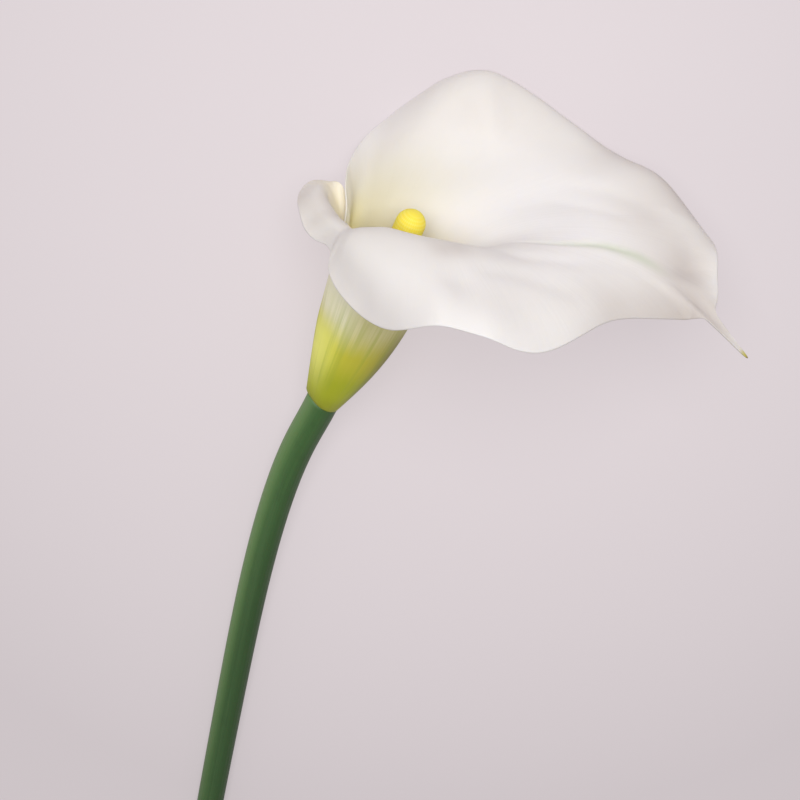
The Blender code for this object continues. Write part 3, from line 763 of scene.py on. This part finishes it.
# Circles carried along a spline: centre(s) + r(s) (cos a across + sin a other), then rings
# that shrink to the middle of the slanting cut. The plug's two rings and the shoulder are
# level with the bloom's axis
def buildStem(look):
    tail, inner, axis = bloomFrame.T
    path = np.array(stem["path"])
    reach = np.concatenate([[0], np.cumsum(np.linalg.norm(np.diff(path, axis=0), axis=1))])
    share = np.linspace(0, 1, stem["rings"]) ** stem["ringSpread"]
    length = reach[-1] * share
    guides = np.vstack([axis * stem["lead"], path])
    places = np.concatenate([[-stem["lead"]], reach])
    read = lambda x: np.stack([spline(x, places, guides[:, k]) for k in range(3)], -1)
    nudge = 0.1
    centres, down = read(length), unit(read(length + nudge) - read(length - nudge))
    azimuth = -np.linspace(0, 2 * math.pi, stem["sides"], endpoint=False)
    across = unit(np.cross(down, inner))
    other = np.cross(across, down)
    rib = stem["rib"] * np.cos(stem["ribs"] * azimuth + 2.0 * np.sin(3 * azimuth))
    radius = (stem["radius"] + (stem["endRadius"] - stem["radius"]) * share)[:, None]
    radius = radius + rib * smoothStep(length, 0, stem["ribReach"])[:, None]
    cosine, sine = np.cos(azimuth)[:, None], np.sin(azimuth)[:, None]
    turn = cosine * across[:, None] + sine * other[:, None]
    rings = centres[:, None] + radius[..., None] * turn
    slant = np.outer(stem["cutSlant"] * np.cos(azimuth), down[-1])
    rings[-1] += slant

    circle = np.outer(np.cos(azimuth), tail) + np.outer(np.sin(azimuth), inner)
    shoulder = spathe["baseSlant"] * (1 - np.cos(azimuth)) - stem["gap"]
    top = np.stack([stem["plugRadius"] * circle + stem["plugTop"] * axis,
                    stem["plugRadius"] * circle + np.outer(shoulder, axis),
                    stem["radius"] * circle + np.outer(shoulder, axis)])
    shrink = np.array(stem["cutRings"])[:, None, None]
    dish = stem["cutDish"] * (1 - shrink) ** 0.7
    cut = centres[-1] + shrink * (rings[-1] - centres[-1]) - dish * down[-1]
    rings = np.concatenate([top, rings[1:], cut])
    ends = np.stack([stem["plugTop"] * axis, centres[-1] - stem["cutDish"] * down[-1]])
    faces, points = closedTube(rings, ends)

    count = stem["sides"]
    blank = np.zeros(3 * count)
    skin = (stem["rings"] - 1) * count
    lengths = np.concatenate([blank, np.repeat(length[1:], count),
                              np.full(len(shrink) * count, length[-1]), [0, length[-1]]])
    cutFace = np.concatenate([blank, np.zeros(skin), np.ones(len(shrink) * count), [0, 1]])
    core = np.concatenate([blank + 1, np.ones(skin), np.repeat(shrink.ravel(), count), [1, 0]])
    around = np.append(np.tile(azimuth, 2 + stem["rings"] + len(shrink)), [0, 0])
    fields = {"length": lengths, "cutFace": cutFace, "core": core,
              "litSide": np.cos(around + math.radians(stem["litSide"])),
              "stalkMap": np.stack([np.cos(around), np.sin(around), lengths / 10], -1)}
    makePiece("greenStem", points, faces, fields, look, "stem", fromBloom=False)


stemPaint = {
    "green": (0.034, 0.088, 0.022),
    "dark": (0.018, 0.052, 0.012),
    "pale": (0.072, 0.145, 0.048),
    "nearBloom": (0.05, 0.13, 0.032),
    "litSide": (0.165, 0.295, 0.10),
    "pith": (0.42, 0.50, 0.22),
    "rind": (0.12, 0.24, 0.06),
}


def stemLook():
    paint = Paint("greenStalk", Roughness=0.42, Subsurface_Weight=0.08, Subsurface_Scale=0.001,
                  Specular_IOR_Level=0.45)
    stalkMap = paint.place("stalkMap")
    streak = paint.noise(paint.stretched(stalkMap, (3.2, 3.2, 0.12)), 1.0, 3.0, 0.6)
    fibre = paint.noise(paint.stretched(stalkMap, (17, 17, 0.5)), 1.0, 2.0, 0.6)
    mottle = paint.noise(paint.place(), 140.0, 3.0, 0.6)
    length = paint.field("length")
    colour = paint.blend(length.between(90, 0) * 0.9, stemPaint["green"], stemPaint["nearBloom"])
    colour = paint.blend(streak.between(0.45, 0.75) * 0.35, colour, stemPaint["pale"])
    darker = fibre.between(0.5, 0.75) * 0.4 + mottle.between(0.55, 0.8) * 0.25
    colour = paint.blend(darker, colour, stemPaint["dark"])
    # painted light on the stem's lit side, stronger towards the bloom, then painted shade on the
    # side away from it
    litSide = paint.field("litSide")
    litMask = litSide.between(0.15, 1.05) * (0.25 + length.between(190, 60) * 0.55)
    colour = paint.blend(litMask, colour, stemPaint["litSide"])
    colour = paint.blend(litSide.between(0.1, -0.8) * 0.45, colour, stemPaint["dark"])
    core = paint.field("core")
    bundles = paint.noise(paint.place(), 1400.0, 1.0).between(0.62, 0.7)
    cut = paint.blend(core.between(0.55, 0.98), stemPaint["pith"], stemPaint["rind"])
    cut = paint.blend(bundles * 0.5, cut, stemPaint["rind"])
    colour = paint.blend(paint.field("cutFace"), colour, cut)
    roughness = 0.38 + streak * 0.16 + mottle * 0.08
    return paint.finish(colour, roughness, fibre * 0.7 + mottle * 0.3, stem["bumpDepth"])


# Floor, light and camera
stage = {
    "floorHalf": 4000,
    "floorColour": (0.24, 0.218, 0.225),
    "floorShade": (0.216, 0.1962, 0.2025),    # towards which soft clouds of it lean
    "floorClouds": 0.12,
    "floorGlow": (0.53, 0.482, 0.498),    # light of its own, which keeps the shadows faint
    "farGlow": 0.75,                      # share of it that is left at its reach
    "glowCentre": (0.008, 0.15, 0.0),     # metres
    "glowReach": 0.23,
    "worldColour": (1.0, 0.975, 0.985),
    "worldStrength": 0.36,
    "keyPlace": (-35, 350, 965),          # mm from the aim point
    "keySize": 0.6,
    "keyPower": 7.5,
}


def buildStage():
    half = stage["floorHalf"] * millimetre
    mesh = bpy.data.meshes.new("floor")
    corners = [(-half, -half, 0), (half, -half, 0), (half, half, 0), (-half, half, 0)]
    mesh.from_pydata(corners, [], [(0, 1, 2, 3)])
    paint = Paint("paleFloor", Roughness=0.85, Specular_IOR_Level=0.2, Emission_Strength=1.0)
    distance = paint.node("ShaderNodeVectorMath", {"operation": "DISTANCE"},
                          {0: paint.place(), 1: stage["glowCentre"]}).outputs["Value"]
    far = Value(paint, distance) / stage["glowReach"]
    farGlow = tuple(c * stage["farGlow"] for c in stage["floorGlow"])
    glow = paint.blend(far * far, stage["floorGlow"], farGlow)
    paint.feed(paint.shader.inputs["Emission Color"], glow)
    cloud = paint.noise(paint.place(), 3.0, 2.0)
    shade = paint.blend(cloud * stage["floorClouds"], stage["floorColour"], stage["floorShade"])
    mesh.materials.append(paint.finish(shade))
    floor = bpy.data.objects.new("floor", mesh)
    bpy.context.scene.collection.objects.link(floor)

    world = bpy.data.worlds.new("softRoom")
    bpy.context.scene.world = world
    world.use_nodes = True
    sky = world.node_tree.nodes["Background"]
    sky.inputs["Color"].default_value = (*stage["worldColour"], 1)
    sky.inputs["Strength"].default_value = stage["worldStrength"]


def aimAt(thing, place, target):
    thing.location = place
    thing.rotation_euler = (Vector(target) - Vector(place)).to_track_quat("-Z", "Y").to_euler()


def buildLightAndCamera():
    aim = (headBase + camera["aim"]) * millimetre
    light = bpy.data.lights.new("softbox", "AREA")
    light.shape, light.size = "DISK", stage["keySize"]
    light.energy = stage["keyPower"]
    key = bpy.data.objects.new("softbox", light)
    bpy.context.scene.collection.objects.link(key)
    aimAt(key, aim + np.array(stage["keyPlace"]) * millimetre, aim)

    lens = bpy.data.cameras.new("camera")
    lens.lens = camera["lens"]
    shot = bpy.data.objects.new("camera", lens)
    bpy.context.scene.collection.objects.link(shot)
    shot.rotation_euler = (math.radians(camera["pitch"]), math.radians(camera["roll"]), 0)
    back = np.array(shot.rotation_euler.to_matrix().col[2])
    shot.location = aim + back * camera["distance"] * millimetre
    bpy.context.scene.camera = shot
    bpy.context.scene.view_settings.view_transform = "Standard"


buildStage()
buildLightAndCamera()
print("stage, light and camera ready")
buildLeaf(petalLook())
buildSpadix(spadixLook())
buildStem(stemLook())
